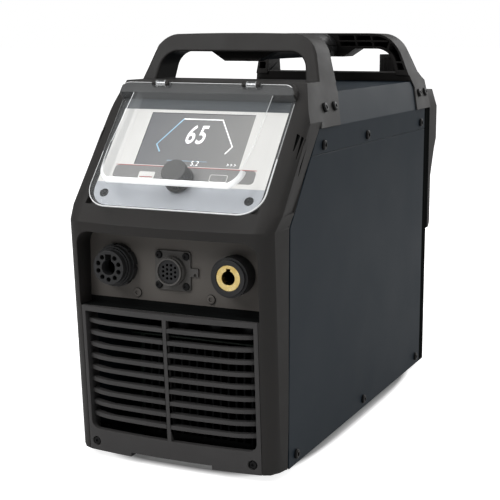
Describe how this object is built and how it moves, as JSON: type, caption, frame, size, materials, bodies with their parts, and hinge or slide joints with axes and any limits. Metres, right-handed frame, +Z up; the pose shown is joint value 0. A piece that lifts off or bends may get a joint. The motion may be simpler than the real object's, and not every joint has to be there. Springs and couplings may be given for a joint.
{
  "type": "plasma cutter",
  "caption": "Portable air plasma cutting power source: sheet-metal case, moulded sloped front with hinged clear cover, recessed torch and earth sockets, carrying arches joined by a round grip.",
  "frame": {"origin": "on the floor under the middle of the case's overall box", "axes": "+X to the machine's right seen from the front, +Y from the front to the rear, +Z up"},
  "size_m": [0.2214, 0.517, 0.408],
  "materials": {
    "housing_plastic": "fine satin grain",
    "black_plastic": "satin",
    "grip_plastic": "soft satin",
    "painted_sheet": "satin powder coat",
    "black_screw": "blackened steel",
    "steel": "plain",
    "brass": "turned",
    "overlay": "printed foil",
    "screen_glass": "lit display behind glass",
    "clear_plastic": "clear polycarbonate",
    "knob_plastic": "satin grey",
    "switch_red": "satin",
    "aluminium": "extruded",
    "circuit_board": "solder mask",
    "can_sleeve": "shrink sleeve",
    "ferrite": "sintered",
    "winding": "enamelled copper",
    "foot_rubber": "matte"
  },
  "bodies": {
    "case": {"front_housing": "housing_plastic", "front_grille": "housing_plastic", "connector_plate": "black_plastic", "torch_socket": "black_plastic", "torch_ring_nut": "black_plastic", "cnc_socket": "black_plastic", "cnc_insert": "black_plastic", "ground_socket": "black_plastic", "ground_contact": "brass", "display_panel": "overlay", "display_screen": "screen_glass", "encoder_body": "black_plastic", "cover_pins": "steel", "top_cover": "painted_sheet", "left_side_panel": "painted_sheet", "right_side_panel": "painted_sheet", "base_tray": "painted_sheet", "rear_panel": "black_plastic", "rear_handle": "housing_plastic", "carry_grip": "grip_plastic", "rear_hood": "housing_plastic", "regulator_body": "aluminium", "air_inlet": "brass", "mains_switch": "black_plastic", "mains_switch_plate": "black_plastic", "cable_gland": "black_plastic", "fan_frame": "black_plastic", "fan_guard": "steel", "feet": "foot_rubber", "heat_sink": "aluminium", "power_board": "circuit_board", "capacitors": "can_sleeve", "transformer_core": "ferrite", "transformer_winding": "winding", "output_choke": "winding", "solenoid_valve": "brass", "control_board": "circuit_board", "side_screws": "black_screw", "front_handle_screws": "black_screw", "rear_handle_screws": "black_screw", "grille_screws": "black_screw", "plate_screws": "black_screw", "flange_screws": "black_screw", "panel_screws": "black_screw"},
    "cover": {"clear_cover": "clear_plastic"},
    "push": {"encoder_plunger": "black_plastic"},
    "knob": {"encoder_shaft": "steel", "encoder_knob": "knob_plastic"},
    "fan": {"fan_rotor": "black_plastic"},
    "mains": {"mains_switch_knob": "switch_red"},
    "air": {"regulator_knob": "black_plastic"}
  },
  "joints": [
    {"name": "cover_hinge", "type": "hinge", "parent": "case", "child": "cover", "pos_m": [0, -0.16254, 0.36036], "axis": [-1, 0, 0], "range_deg": [0, 145]},
    {"name": "encoder_press", "type": "slide", "parent": "case", "child": "push", "axis": [0, 0.766, -0.6428], "range_m": [0, 0.0008], "stiffness_N_per_m": 2500, "springref_m": -0.0008},
    {"name": "encoder_turn", "type": "hinge", "parent": "push", "child": "knob", "pos_m": [0, -0.21956, 0.27545], "axis": [0, -0.766, 0.6428], "continuous": true},
    {"name": "fan_spin", "type": "hinge", "parent": "case", "child": "fan", "pos_m": [0, 0.1945, 0.08], "axis": [0, 1, 0], "continuous": true},
    {"name": "mains_turn", "type": "hinge", "parent": "case", "child": "mains", "pos_m": [-0.055, 0.2395, 0.206], "axis": [0, 1, 0], "range_deg": [0, 90]},
    {"name": "air_turn", "type": "hinge", "parent": "case", "child": "air", "pos_m": [0.057, 0.24, 0.35], "axis": [0, 0, 1], "range_deg": [-540, 540]}
  ]
}
